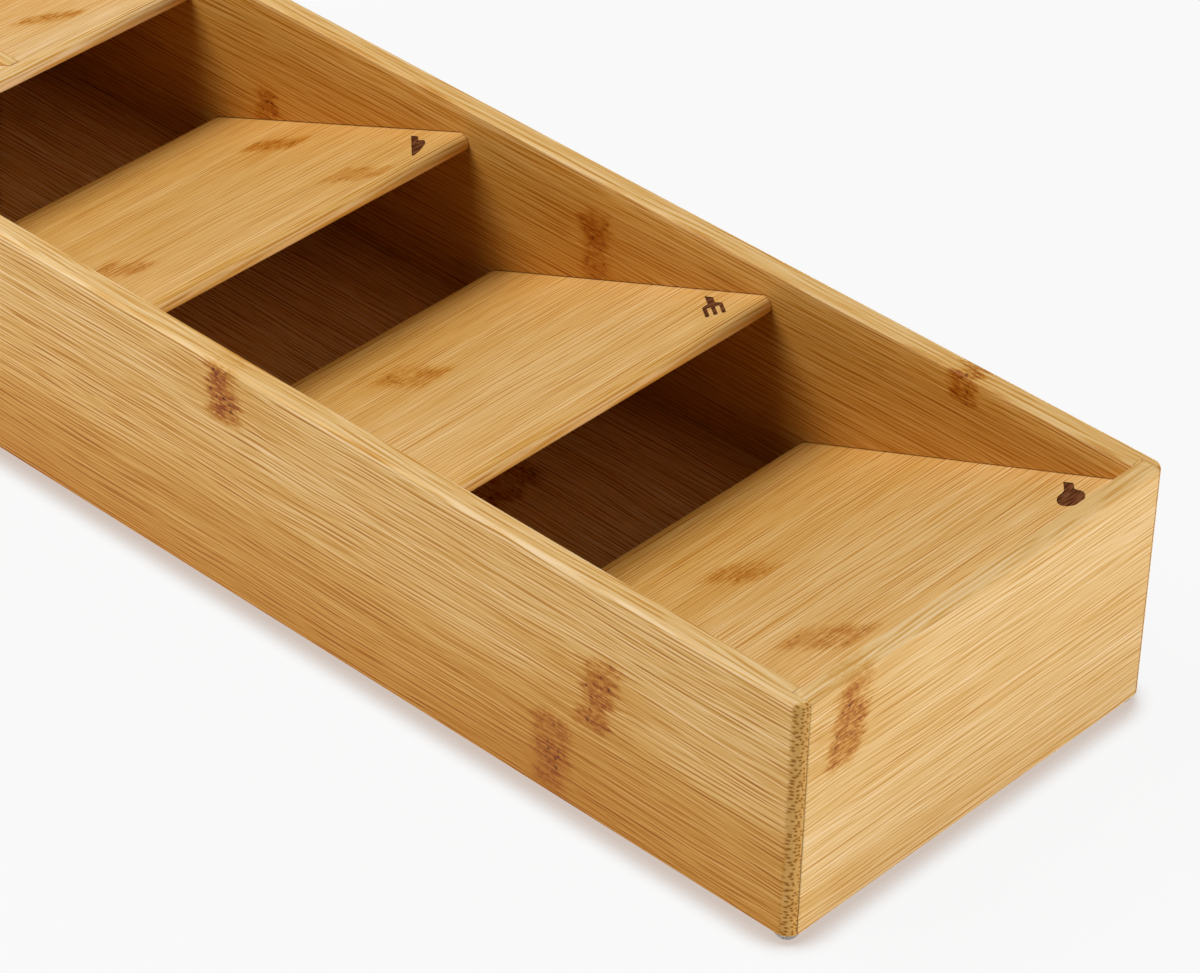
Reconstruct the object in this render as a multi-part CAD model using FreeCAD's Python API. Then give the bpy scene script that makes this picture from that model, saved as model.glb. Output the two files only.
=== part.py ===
import FreeCAD, Part
import math
import os

# Cutlery tray of laminated bamboo boards, in millimetres.
# Origin: bottom centre, on the surface that the feet stand on.
# +X runs along the tray to the end where the spoons lie, +Y to the back side wall, +Z up.

# Walls
TRAY_WIDTH = 113.0         # outside, across both side walls
SIDE_THICKNESS = 5.4
END_THICKNESS = 5.0
CORNER_LIP = 2.5           # side wall left over the end wall's end grain at each rabbet
CORNER_RADIUS = 3.2        # upright outer corners, sanded after gluing
TOP_EASE = 1.0             # rounding of the outer upper rim
BOTTOM_EASE = 0.4          # rounding of the outer lower rim
INNER_EASE = 0.5           # small bevel on the inner upper rim
RIM_ABOVE_NOSE = 7.0       # from the top of a ramp's nose up to the rim
RIM_ABOVE_SPOON_RAMP = 4.3  # from the spoon ramp's upper edge up to the rim

# Base panel
BASE_THICKNESS = 4.2
BASE_LIFT = 5.0            # from the walls' lower edge up to the panel's underside
BASE_GROOVE_DEPTH = 2.2

# Ramps
RAMP_NODES = ("spoon_ramp", "fork_ramp", "knife_ramp", "teaspoon_ramp")
RAMP_THICKNESS = 4.2       # both long edges are full half rounds
RAMP_SPAN = 86.0           # between the centres of the two half rounds, along the slope
RAMP_SLOPE = math.atan2(2.0, 5.0)
RAMP_SLOT_DEPTH = 2.0      # how far each end of a ramp is let into its side wall
RAMP_LOW_GAP = 6.85        # room for handles under a ramp's low edge
SPOON_MOUTH = 10.1         # in plan, from the spoon ramp's low edge to the next nose
MOUTH = 7.45               # in plan, from each other ramp's low edge to the next nose
TAIL = 20.85               # open floor past the last ramp

# Divider that splits the last compartment into two lanes
DIVIDER_THICKNESS = 3.2
DIVIDER_NOSE_DROP = 0.6    # its upper edge lies this far below the top of the last nose
DIVIDER_EASE = 0.6

# Clear bumper feet
FOOT_DIAMETER = 5.8
FOOT_FLAT_DIAMETER = 3.4   # worn flat that meets the table
FOOT_HEIGHT = 2.2
FOOT_INSET = 3.4           # foot's centre from both outer faces of its corner

# Clearances
GLUE_GAP = 0.1             # one glue line
SLOT_GAP = 0.25            # all round a ramp's end in its routed slot

# Levels and stations that follow from the sizes above
NOSE_R = RAMP_THICKNESS / 2
RAMP_RUN = RAMP_SPAN * math.cos(RAMP_SLOPE)
RAMP_RISE = RAMP_SPAN * math.sin(RAMP_SLOPE)
SURFACE_RISE = NOSE_R / math.cos(RAMP_SLOPE)   # ramp's upper face above its centre line
WALL_BOTTOM = FOOT_HEIGHT
BASE_BOTTOM = WALL_BOTTOM + BASE_LIFT
BASE_TOP = BASE_BOTTOM + BASE_THICKNESS
LOW_CENTRE_Z = BASE_TOP + RAMP_LOW_GAP + NOSE_R
NOSE_CENTRE_Z = LOW_CENTRE_Z + RAMP_RISE
WALL_TOP = NOSE_CENTRE_Z + NOSE_R + RIM_ABOVE_NOSE
WALL_HEIGHT = WALL_TOP - WALL_BOTTOM
SPOON_EDGE_Z = WALL_TOP - RIM_ABOVE_SPOON_RAMP
SPOON_RUN = (SPOON_EDGE_Z - SURFACE_RISE - LOW_CENTRE_Z) / math.tan(RAMP_SLOPE)
RAMP_PITCH = RAMP_RUN + RAMP_THICKNESS + MOUTH
FREE_RAMPS = len(RAMP_NODES) - 1
INNER_LENGTH = SPOON_RUN + NOSE_R + SPOON_MOUTH + FREE_RAMPS * RAMP_PITCH - MOUTH + TAIL
INNER_WIDTH = TRAY_WIDTH - 2 * SIDE_THICKNESS
TRAY_LENGTH = INNER_LENGTH + 2 * END_THICKNESS
INNER_END_X = INNER_LENGTH / 2
SPOON_LOW_X = INNER_END_X - SPOON_RUN
FIRST_NOSE_X = SPOON_LOW_X - NOSE_R - SPOON_MOUTH - NOSE_R


def point(x, y, z):
    return FreeCAD.Vector(x, y, z)


def centred_box(length, width, low_z, high_z):
    """A box centred on the tray, between two levels."""
    corner = point(-length / 2, -width / 2, low_z)
    return Part.makeBox(length, width, high_z - low_z, corner)


def face_of(edges):
    return Part.Face(Part.Wire(edges))


def ramp_centres(index):
    """Low and nose centres, in x and z, of a ramp's two half rounds."""
    if index == 0:
        return (SPOON_LOW_X, LOW_CENTRE_Z), (INNER_END_X, SPOON_EDGE_Z - SURFACE_RISE)
    nose_x = FIRST_NOSE_X - (index - 1) * RAMP_PITCH
    return (nose_x - RAMP_RUN, LOW_CENTRE_Z), (nose_x, NOSE_CENTRE_Z)


def offset_from(centre, along, across):
    """A point in the XZ plane, measured along and square to the ramps' slope."""
    x = centre[0] + along * math.cos(RAMP_SLOPE) - across * math.sin(RAMP_SLOPE)
    z = centre[1] + along * math.sin(RAMP_SLOPE) + across * math.cos(RAMP_SLOPE)
    return point(x, 0, z)


def plumb_end(high, end_x, radius):
    """Upper and lower corners of a ramp that is cut upright where it meets the end wall."""
    drop = radius / math.cos(RAMP_SLOPE)
    line_z = high[1] + (end_x - high[0]) * math.tan(RAMP_SLOPE)
    return point(end_x, 0, line_z + drop), point(end_x, 0, line_z - drop)


def ramp_outline(index, grow, end_gap):
    """A ramp's section: half round at each edge, or cut upright at the end wall."""
    low, high = ramp_centres(index)
    radius = NOSE_R + grow
    low_upper = offset_from(low, 0, radius)
    low_under = offset_from(low, 0, -radius)
    low_edge = Part.Arc(low_under, offset_from(low, -radius, 0), low_upper).toShape()
    if index == 0:
        upper, under = plumb_end(high, INNER_END_X - end_gap, radius)
        high_edge = Part.LineSegment(upper, under).toShape()
    else:
        upper = offset_from(high, 0, radius)
        under = offset_from(high, 0, -radius)
        high_edge = Part.Arc(upper, offset_from(high, radius, 0), under).toShape()
    over_face = Part.LineSegment(low_upper, upper).toShape()
    under_face = Part.LineSegment(under, low_under).toShape()
    return face_of([low_edge, over_face, high_edge, under_face])


def across_tray(face, width):
    """Extrude a section in the XZ plane to a width, centred on the tray."""
    solid = face.extrude(point(0, width, 0))
    solid.translate(point(0, -width / 2, 0))
    return solid


def ramp(index):
    width = INNER_WIDTH + 2 * (RAMP_SLOT_DEPTH - SLOT_GAP)
    return across_tray(ramp_outline(index, 0, GLUE_GAP), width)


def ramp_slots():
    """The routed slots that take the ends of every ramp, as one tool per ramp."""
    width = INNER_WIDTH + 2 * RAMP_SLOT_DEPTH
    return [across_tray(ramp_outline(i, SLOT_GAP, 0), width) for i in range(len(RAMP_NODES))]


def base_block(grow):
    """The base panel, or with some growth the groove that it sits in."""
    length = INNER_LENGTH + 2 * (BASE_GROOVE_DEPTH - GLUE_GAP + grow)
    width = INNER_WIDTH + 2 * (BASE_GROOVE_DEPTH - GLUE_GAP + grow)
    return centred_box(length, width, BASE_BOTTOM - grow, BASE_TOP + grow)


def edges_where(shape, test):
    return [edge for edge in shape.Edges if test(edge.BoundBox)]


def outer_form():
    """The tray's outside as one block with rounded corners and eased rims."""
    block = centred_box(TRAY_LENGTH, TRAY_WIDTH, WALL_BOTTOM, WALL_TOP)
    fine = 1e-6
    upright = edges_where(block, lambda box: box.ZLength > WALL_HEIGHT - fine)
    block = block.makeFillet(CORNER_RADIUS, upright)
    upper = edges_where(block, lambda box: box.ZMin > WALL_TOP - fine)
    block = block.makeFillet(TOP_EASE, upper)
    lower = edges_where(block, lambda box: box.ZMax < WALL_BOTTOM + fine)
    return block.makeFillet(BOTTOM_EASE, lower)


def rim_bevel():
    """A tool that bevels the inner upper rim of all four walls."""
    spread = 2 * INNER_EASE
    block = centred_box(INNER_LENGTH + spread, INNER_WIDTH + spread,
                        WALL_TOP - INNER_EASE, WALL_TOP + INNER_EASE)
    lower = edges_where(block, lambda box: box.ZMax < WALL_TOP)
    return block.makeChamfer(INNER_EASE, lower)


def side_wall_blank(side):
    """A full-length board with a rabbet at each end; side is -1 for front and 1 for back."""
    inner_y = side * INNER_WIDTH / 2
    outer_y = side * TRAY_WIDTH / 2
    board = Part.makeBox(TRAY_LENGTH, SIDE_THICKNESS, WALL_HEIGHT,
                         point(-TRAY_LENGTH / 2, min(inner_y, outer_y), WALL_BOTTOM))
    rabbet_depth = SIDE_THICKNESS - CORNER_LIP
    lip_y = outer_y - side * CORNER_LIP
    for end in (-1, 1):
        near_x = min(end * INNER_END_X, end * TRAY_LENGTH / 2)
        rabbet = Part.makeBox(END_THICKNESS, rabbet_depth, WALL_HEIGHT,
                              point(near_x, min(inner_y, lip_y), WALL_BOTTOM))
        board = board.cut(rabbet)
    return board


def end_wall_blank(end):
    """A board that fits between the side walls' lips; end is -1 for left and 1 for right."""
    width = TRAY_WIDTH - 2 * (CORNER_LIP + GLUE_GAP)
    thickness = END_THICKNESS - GLUE_GAP
    outer_x = end * TRAY_LENGTH / 2
    inner_x = outer_x - end * thickness
    return Part.makeBox(thickness, width, WALL_HEIGHT,
                        point(min(inner_x, outer_x), -width / 2, WALL_BOTTOM))


def walls():
    """All four walls, cut to the tray's outside and housed for the base and the ramps."""
    form = outer_form()
    bevel = rim_bevel()
    groove = base_block(GLUE_GAP)
    slots = ramp_slots()
    boards = {
        "front_side_wall": side_wall_blank(-1).cut(slots),
        "back_side_wall": side_wall_blank(1).cut(slots),
        "left_end_wall": end_wall_blank(-1),
        "right_end_wall": end_wall_blank(1),
    }
    return {name: board.cut([groove, bevel]).common(form) for name, board in boards.items()}


def divider():
    """A plate that stands on the last ramp and on the floor past it, eased along its top."""
    low, nose = ramp_centres(len(RAMP_NODES) - 1)
    radius = NOSE_R + GLUE_GAP
    top_z = NOSE_CENTRE_Z + NOSE_R - DIVIDER_NOSE_DROP
    floor_z = BASE_TOP + GLUE_GAP
    wall_x = -INNER_END_X + GLUE_GAP
    surface_z = nose[1] + radius / math.cos(RAMP_SLOPE)
    tip = point(nose[0] + (top_z - surface_z) / math.tan(RAMP_SLOPE), 0, top_z)
    low_upper = offset_from(low, 0, radius)
    low_round = offset_from(low, -radius * math.sin(math.pi / 4), radius * math.cos(math.pi / 4))
    low_back = offset_from(low, -radius, 0)
    floor_near = point(low_back.x, 0, floor_z)
    floor_far = point(wall_x, 0, floor_z)
    top_far = point(wall_x, 0, top_z)
    outline = [
        Part.LineSegment(tip, low_upper).toShape(),
        Part.Arc(low_upper, low_round, low_back).toShape(),
        Part.LineSegment(low_back, floor_near).toShape(),
        Part.LineSegment(floor_near, floor_far).toShape(),
        Part.LineSegment(floor_far, top_far).toShape(),
        Part.LineSegment(top_far, tip).toShape(),
    ]
    plate = across_tray(face_of(outline), DIVIDER_THICKNESS)
    bar = Part.makeBox(tip.x - wall_x, DIVIDER_THICKNESS, top_z - floor_z,
                       point(wall_x, -DIVIDER_THICKNESS / 2, floor_z))
    fine = 1e-6
    long_top = edges_where(bar, lambda box: box.ZMin > top_z - fine and box.YLength < fine)
    return plate.common(bar.makeFillet(DIVIDER_EASE, long_top))


def foot(x, y):
    """A clear dome bumper under one corner: part of a ball, with a small flat below."""
    wide = FOOT_DIAMETER / 2
    flat = FOOT_FLAT_DIAMETER / 2
    ball_z = (wide ** 2 - flat ** 2 + FOOT_HEIGHT ** 2) / (2 * FOOT_HEIGHT)
    ball_r = math.hypot(flat, ball_z)
    middle = (math.atan2(-ball_z, flat) + math.atan2(FOOT_HEIGHT - ball_z, wide)) / 2
    on_dome = point(ball_r * math.cos(middle), 0, ball_z + ball_r * math.sin(middle))
    low_axis = point(0, 0, 0)
    low_rim = point(flat, 0, 0)
    high_rim = point(wide, 0, FOOT_HEIGHT)
    high_axis = point(0, 0, FOOT_HEIGHT)
    section = face_of([
        Part.LineSegment(low_axis, low_rim).toShape(),
        Part.Arc(low_rim, on_dome, high_rim).toShape(),
        Part.LineSegment(high_rim, high_axis).toShape(),
        Part.LineSegment(high_axis, low_axis).toShape(),
    ])
    dome = section.revolve(low_axis, point(0, 0, 1), 360)
    dome.translate(point(x, y, 0))
    return dome


def feet():
    """One bumper under each corner."""
    reach_x = TRAY_LENGTH / 2 - FOOT_INSET
    reach_y = TRAY_WIDTH / 2 - FOOT_INSET
    pads = {}
    for side_name, side in (("front", -1), ("back", 1)):
        for end_name, end in (("left", -1), ("right", 1)):
            pads[f"{side_name}_{end_name}_foot"] = foot(end * reach_x, side * reach_y)
    return pads


def tray():
    """Every piece of the tray, by name."""
    pieces = walls()
    pieces["base_panel"] = base_block(0)
    for index, name in enumerate(RAMP_NODES):
        pieces[name] = ramp(index)
    pieces["teaspoon_divider"] = divider()
    pieces.update(feet())
    return pieces


os.makedirs("parts", exist_ok=True)
for name, shape in tray().items():
    solid = shape.Solids[0]
    box = solid.BoundBox
    print(f"{name}: {len(shape.Solids)} solid, valid {shape.isValid()}, "
          f"{box.XLength:.2f} x {box.YLength:.2f} x {box.ZLength:.2f} mm, z from {box.ZMin:.2f}")
    solid.exportStep(f"parts/{name}.step")
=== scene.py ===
# %% [markdown]
# The object is a long, narrow cutlery tray for a kitchen drawer, made of pressed bamboo boards. Four
# inclined boards overlap like roof tiles between two long side walls, so that a stack of spoons, forks or
# knives lies with its handles under the next board.
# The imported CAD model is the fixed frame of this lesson. Each step takes one group of pieces and gives it
# the shape and the finish of the real thing, in metres, without moving anything.

import math

import bmesh
import bpy
from mathutils import Matrix, Quaternion, Vector


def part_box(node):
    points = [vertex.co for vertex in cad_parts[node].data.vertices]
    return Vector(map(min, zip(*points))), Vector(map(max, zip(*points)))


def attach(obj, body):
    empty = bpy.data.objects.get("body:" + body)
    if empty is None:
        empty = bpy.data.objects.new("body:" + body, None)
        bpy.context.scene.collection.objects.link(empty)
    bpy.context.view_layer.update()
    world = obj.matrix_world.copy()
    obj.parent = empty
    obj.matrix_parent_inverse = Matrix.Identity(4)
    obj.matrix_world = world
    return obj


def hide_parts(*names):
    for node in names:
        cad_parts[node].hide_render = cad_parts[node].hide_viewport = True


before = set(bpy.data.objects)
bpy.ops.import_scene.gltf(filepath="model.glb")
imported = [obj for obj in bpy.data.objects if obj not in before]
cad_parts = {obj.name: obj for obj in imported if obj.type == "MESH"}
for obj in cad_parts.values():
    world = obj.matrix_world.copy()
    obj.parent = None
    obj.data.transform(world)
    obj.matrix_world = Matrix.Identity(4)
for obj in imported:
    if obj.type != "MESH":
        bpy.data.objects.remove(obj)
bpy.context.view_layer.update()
scene = bpy.context.scene
MM = 0.001

# %% [markdown]
# The photograph was taken with a long lens from above the near right corner, so its edges run almost
# parallel. Place, heading, tilt, roll and lens were worked out from the corners of the tray, and one
# quaternion joins them: the camera first looks along a direction, then turns about its own line of sight.

# %% Camera
CAMERA_PLACE = Vector((0.68621, -0.65488, 0.68224))
CAMERA_HEADING = math.radians(132.185)
CAMERA_DOWN = math.radians(36.429)
CAMERA_ROLL = math.radians(1.750)
CAMERA_LENS = 154.793
CAMERA_REACH = 50.0
SENSOR_WIDTH = 36.0

sight = Vector((
    math.cos(CAMERA_HEADING) * math.cos(CAMERA_DOWN),
    math.sin(CAMERA_HEADING) * math.cos(CAMERA_DOWN),
    -math.sin(CAMERA_DOWN),
))
camera_turn = sight.to_track_quat("-Z", "Y") @ Quaternion((0, 0, 1), CAMERA_ROLL)
camera_data = bpy.data.cameras.new("studio_camera")
camera_data.sensor_fit = "HORIZONTAL"
camera_data.sensor_width = SENSOR_WIDTH
camera_data.lens = CAMERA_LENS
camera_data.clip_end = CAMERA_REACH
camera = bpy.data.objects.new("studio_camera", camera_data)
camera.matrix_world = Matrix.LocRotScale(CAMERA_PLACE, camera_turn, None)
scene.collection.objects.link(camera)
scene.camera = camera
scene.view_settings.view_transform = "Standard"
print("camera looks along", [round(value, 3) for value in sight])

# %% [markdown]
# Every finish below is a node tree, so a few small helpers keep the cells short. One adds a node and links
# or sets its inputs. The others do arithmetic, make a soft threshold, mix or multiply two colours, and open
# an empty node group.

# %% Helpers for node trees
def wire(tree, kind, inputs=None, **options):
    """Add one node, set its options, then link sockets or set plain values on its inputs."""
    made = tree.nodes.new(kind)
    for name, value in options.items():
        setattr(made, name, value)
    for key, value in (inputs or {}).items():
        if isinstance(value, bpy.types.NodeSocket):
            tree.links.new(value, made.inputs[key])
        else:
            made.inputs[key].default_value = value
    return made


def maths(tree, operation, *values):
    """The result of one Math node on sockets or numbers."""
    return wire(tree, "ShaderNodeMath", dict(enumerate(values)), operation=operation).outputs[0]


def fade(tree, value, whole, gone):
    """1 where the value reaches whole, falling smoothly to 0 where it reaches gone, either way round."""
    limits = {"Value": value, "From Min": whole, "From Max": gone, "To Min": 1.0, "To Max": 0.0}
    soft = wire(tree, "ShaderNodeMapRange", limits, interpolation_type="SMOOTHSTEP")
    return soft.outputs["Result"]


def blend_colour(tree, share, first, second):
    """A colour between two others."""
    mixed = wire(tree, "ShaderNodeMix", {0: share, 6: first, 7: second}, data_type="RGBA")
    return mixed.outputs[2]


def tint(tree, colour, other):
    """One colour multiplied by another."""
    mixed = wire(
        tree, "ShaderNodeMix", {0: 1.0, 6: colour, 7: other}, data_type="RGBA", blend_type="MULTIPLY",
    )
    return mixed.outputs[2]


def new_group(name, kind, inputs, outputs):
    """An empty node group with named sockets, and its two ends."""
    tree = bpy.data.node_groups.new(name, kind)
    for label, socket in inputs.items():
        tree.interface.new_socket(label, in_out="INPUT", socket_type=socket)
    for label, socket in outputs.items():
        tree.interface.new_socket(label, in_out="OUTPUT", socket_type=socket)
    first = tree.nodes.new("NodeGroupInput")
    last = tree.nodes.new("NodeGroupOutput")
    return tree, first.outputs, last.inputs


print("node helpers ready")

# %% [markdown]
# The tray stands on a plain white floor under soft studio light. A white floor also throws light back on
# the walls, as the paper of a studio does. To the camera the floor adds an even glow, so that it is white
# up to the edges of the picture and still keeps a faint shadow round the tray. Where the tray hides most of
# the sky from the paper, within a few millimetres of its walls, the glow turns to a warm painted shadow.

# %% Floor
WHITE = (1.0, 1.0, 1.0, 1.0)
FLOOR_HALF = 6.0
FLOOR_DROP = 0.05 * MM
FLOOR_WHITE = (0.90, 0.90, 0.90, 1.0)
FLOOR_SHADED = (0.03, 0.03, 0.03, 1.0)
FLOOR_GLOW = 0.921
CONTACT_REACH = 9.0 * MM
CONTACT_EDGE = (0.50, 0.88)
PAINTED_CONTACT_SHADE = (0.670, 0.575, 0.515, 1.0)


def seen_directly(tree):
    """1 for what the camera sees, also by way of a gloss or through glass, and 0 for scattered light."""
    rays = wire(tree, "ShaderNodeLightPath").outputs
    seen = maths(tree, "MAXIMUM", rays["Is Camera Ray"], rays["Is Glossy Ray"])
    return maths(tree, "MAXIMUM", seen, rays["Is Transmission Ray"])


floor_mesh = bpy.data.meshes.new("studio_floor")
floor_signs = ((-1, -1), (1, -1), (1, 1), (-1, 1))
corners = [(x * FLOOR_HALF, y * FLOOR_HALF, -FLOOR_DROP) for x, y in floor_signs]
floor_mesh.from_pydata(corners, [], [(0, 1, 2, 3)])
floor_paper = bpy.data.materials.new("white_studio_paper")
floor_paper.use_nodes = True
tree = floor_paper.node_tree
tree.nodes.clear()
paper = wire(tree, "ShaderNodeBsdfDiffuse", {"Color": FLOOR_WHITE})
shaded = wire(tree, "ShaderNodeBsdfDiffuse", {"Color": FLOOR_SHADED})
open_sky = wire(tree, "ShaderNodeAmbientOcclusion", {"Distance": CONTACT_REACH}).outputs["AO"]
# painted shadow: near the walls an ambient occlusion node turns the glow to a warm shade
tone = blend_colour(tree, fade(tree, open_sky, *CONTACT_EDGE), WHITE, PAINTED_CONTACT_SHADE)
glow = wire(tree, "ShaderNodeEmission", {"Color": tone, "Strength": FLOOR_GLOW})
pictured = wire(tree, "ShaderNodeAddShader", {0: shaded.outputs[0], 1: glow.outputs[0]})
either = wire(tree, "ShaderNodeMixShader", {
    0: seen_directly(tree), 1: paper.outputs[0], 2: pictured.outputs[0],
})
wire(tree, "ShaderNodeOutputMaterial", {"Surface": either.outputs[0]})
floor_mesh.materials.append(floor_paper)
floor = bpy.data.objects.new("studio_floor", floor_mesh)
scene.collection.objects.link(floor)
print("floor:", 2 * FLOOR_HALF, "m square")

# %% [markdown]
# The main light is a wide, soft lamp overhead, to the left and the front of the tray. Its width makes the
# soft edges of the shade under each nose. A panel at the right stands a little above the rim and lights the
# noses and the end wall. Low panels in front, at the left and behind light the outer walls without shining
# over the rim, and a weak, even world fills the rest.

# %% World light
SKY_LIGHT = 0.045
SKY_SEEN = 0.95

world = bpy.data.worlds.new("studio_world")
world.use_nodes = True
sky = world.node_tree
sky.nodes.clear()
lit = wire(sky, "ShaderNodeBackground", {"Color": WHITE, "Strength": SKY_LIGHT})
shown = wire(sky, "ShaderNodeBackground", {"Color": WHITE, "Strength": SKY_SEEN})
either = wire(sky, "ShaderNodeMixShader", {0: seen_directly(sky), 1: lit.outputs[0], 2: shown.outputs[0]})
wire(sky, "ShaderNodeOutputWorld", {"Surface": either.outputs[0]})
scene.world = world
print("world light:", SKY_LIGHT)

# %% Lamps
# each lamp: its place, the point it shines at, its width and height, and its power in watts
LAMPS = {
    "overhead_softbox": ((-0.75, -0.67, 1.56), (0.0, 0.0, 0.03), 1.2, 1.3, 36.2),
    "right_panel": ((1.48, 0.60, 0.30), (0.2, 0.0, 0.05), 1.1, 0.16, 15.8),
    "front_panel": ((0.00, -1.60, 0.09), (0.0, 0.0, 0.05), 1.8, 0.16, 2.9),
    "left_panel": ((-1.60, 0.10, 0.09), (-0.2, 0.0, 0.05), 1.6, 0.16, 7.0),
    "back_panel": ((0.00, 1.60, 0.09), (0.0, 0.0, 0.05), 1.8, 0.16, 6.0),
}

for lamp_name, (place, target, wide, tall, power) in LAMPS.items():
    lamp_data = bpy.data.lights.new(lamp_name, "AREA")
    lamp_data.shape = "RECTANGLE"
    lamp_data.size = wide
    lamp_data.size_y = tall
    lamp_data.energy = power
    lamp = bpy.data.objects.new(lamp_name, lamp_data)
    aim = (Vector(target) - Vector(place)).to_track_quat("-Z", "Y")
    lamp.matrix_world = Matrix.LocRotScale(Vector(place), aim, None)
    scene.collection.objects.link(lamp)
print("lamps:", list(LAMPS))

# %% [markdown]
# Bamboo is a grass: its wood has no rings, but thousands of dark fibre bundles that run straight along the
# stalk. On a long face they show as thin brown lines, on an end as dots. A photograph could be wrapped
# round each board, but a solid pattern is truer: the bundles are tubes in space, a flat Voronoi pattern
# across the board that wanders slowly along it, so that lines, rounded corners and end grain agree.
# The pattern works in the board's own millimetres: X along the grain, Y across the strips, Z through them.

# %% Helpers for grain
def stretched_noise(tree, board, along, across, detail):
    """Noise whose grains are this many millimetres along and across the stalk."""
    scaled = wire(tree, "ShaderNodeVectorMath", {
        0: board, 1: (1 / along, 1 / across, 1 / across),
    }, operation="MULTIPLY")
    return wire(tree, "ShaderNodeTexNoise", {"Vector": scaled.outputs[0], "Scale": 1.0, "Detail": detail})


def about_zero(tree, noise):
    """A noise that swings about 0 instead of a half."""
    return maths(tree, "SUBTRACT", noise, 0.5)


def pushed(tree, board, noise, amount):
    """Board millimetres moved aside by a noise's colour, up to half the amount each way."""
    shift = wire(tree, "ShaderNodeVectorMath", {
        0: noise.outputs["Color"], 1: (0.5, 0.5, 0.5),
    }, operation="SUBTRACT")
    shift = wire(tree, "ShaderNodeVectorMath", {0: shift.outputs[0], "Scale": amount}, operation="SCALE")
    return wire(tree, "ShaderNodeVectorMath", {0: board, 1: shift.outputs[0]}, operation="ADD").outputs[0]


def bundles(tree, section, pitch, chaos):
    """Tubes along the grain: the distance from the nearest, and its chance between 0 and 1."""
    cells = wire(tree, "ShaderNodeTexVoronoi", {
        "Vector": section, "Scale": 1 / pitch, "Randomness": chaos,
    }, voronoi_dimensions="2D")
    chance = wire(tree, "ShaderNodeSeparateColor", {0: cells.outputs["Color"]}).outputs["Red"]
    return cells.outputs["Distance"], chance


print("grain helpers ready")

# %% Grain group and its wandering section
# a grain is its millimetres along and across the stalk, and the detail of its noise
WANDER = 2.2
WANDER_GRAIN = (70.0, 18.0, 1.0)
SWERVE = 0.6
SWERVE_GRAIN = (7.0, 4.0, 0.0)

grain, given, result = new_group(
    "bamboo_grain",
    "ShaderNodeTree",
    {
        "Board": "NodeSocketVector",
        "Strip Depth": "NodeSocketFloat",
        "Line Strength": "NodeSocketFloat",
        "Knot": "NodeSocketFloat",
        "Knot Trail": "NodeSocketFloat",
        "End Grain": "NodeSocketFloat",
        "Seam": "NodeSocketFloat",
    },
    {"Color": "NodeSocketColor", "Roughness": "NodeSocketFloat", "Height": "NodeSocketFloat"},
)
bent = pushed(grain, given["Board"], stretched_noise(grain, given["Board"], *WANDER_GRAIN), WANDER)
swerve = maths(grain, "MULTIPLY", given["Knot Trail"], SWERVE)
bent = pushed(grain, bent, stretched_noise(grain, given["Board"], *SWERVE_GRAIN), swerve)
axes = wire(grain, "ShaderNodeSeparateXYZ", {0: bent})
section = wire(grain, "ShaderNodeCombineXYZ", {0: axes.outputs["Y"], 1: axes.outputs["Z"]}).outputs[0]
print("bundles wander by", WANDER, "mm")

# %% Fibre bundles
BUNDLE_PITCH = 0.62
STRIPE_PITCH = 2.1
LINE_CHAOS = 0.75
LINE_EDGE = (0.12, 0.40)
LINE_CHANCE = 0.75
LINE_BREAKS = (0.60, 0.30)
BREAK_GRAIN = (11.0, 0.9, 0.0)
STRIPE_EDGE = (0.10, 0.55)
DOT_PITCH = 0.86
DOT_CHAOS = 0.80
DOT_EDGE = (0.16, 0.38)

distance, chance = bundles(grain, section, BUNDLE_PITCH, LINE_CHAOS)
line = maths(grain, "MULTIPLY_ADD", chance, LINE_CHANCE, 1 - LINE_CHANCE)
line = maths(grain, "MULTIPLY", line, fade(grain, distance, *LINE_EDGE))
broken = stretched_noise(grain, bent, *BREAK_GRAIN).outputs["Fac"]
line = maths(grain, "MULTIPLY", line, fade(grain, broken, *LINE_BREAKS))
distance, chance = bundles(grain, section, STRIPE_PITCH, LINE_CHAOS)
stripe = maths(grain, "MULTIPLY", fade(grain, distance, *STRIPE_EDGE), chance)
dot = fade(grain, bundles(grain, section, DOT_PITCH, DOT_CHAOS)[0], *DOT_EDGE)
print("bundles every", BUNDLE_PITCH, "mm, end dots every", DOT_PITCH, "mm")

# %% [markdown]
# Between the dark bundles the wood has a finer, more even texture: rows of fibres about a millimetre apart,
# which come and go. Wavy combs of a few different pitches add up to such rows without repeating. Softer
# noises add single fibres, broad golden streaks and a faint blush of brown.

# %% Rows of fibres and streaks
# each comb: the millimetres between its rows and its share
COMBS = ((0.82, 1.0), (1.18, 1.0), (1.90, 0.6))
COMB_LEAN = 0.8
COMB_WAVER = 2.0
COMB_WAVER_LENGTH = 28.0
COMB_WAVER_ROWS = 3.0
COMB_BREAKS = (0.58, 0.20)
FIBRE_GRAIN = (20.0, 0.42, 1.0)
CLOUD_GRAIN = (110.0, 5.0, 2.0)
BLUSH_GRAIN = (30.0, 1.7, 2.0)

comb = 0.0
for pitch, share in COMBS:
    waver = stretched_noise(grain, bent, COMB_WAVER_LENGTH, COMB_WAVER_ROWS * pitch, 1.0).outputs["Fac"]
    phase = maths(grain, "MULTIPLY_ADD", axes.outputs["Z"], COMB_LEAN, axes.outputs["Y"])
    phase = maths(grain, "MULTIPLY_ADD", waver, COMB_WAVER, maths(grain, "DIVIDE", phase, pitch))
    wave = maths(grain, "SINE", maths(grain, "MULTIPLY", phase, 2 * math.pi))
    comb = maths(grain, "MULTIPLY_ADD", wave, share, comb)
comb = maths(grain, "MULTIPLY", comb, fade(grain, broken, *COMB_BREAKS))
fibre = stretched_noise(grain, bent, *FIBRE_GRAIN).outputs["Fac"]
cloud = stretched_noise(grain, given["Board"], *CLOUD_GRAIN).outputs["Fac"]
blush = stretched_noise(grain, bent, *BLUSH_GRAIN).outputs["Fac"]
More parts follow.
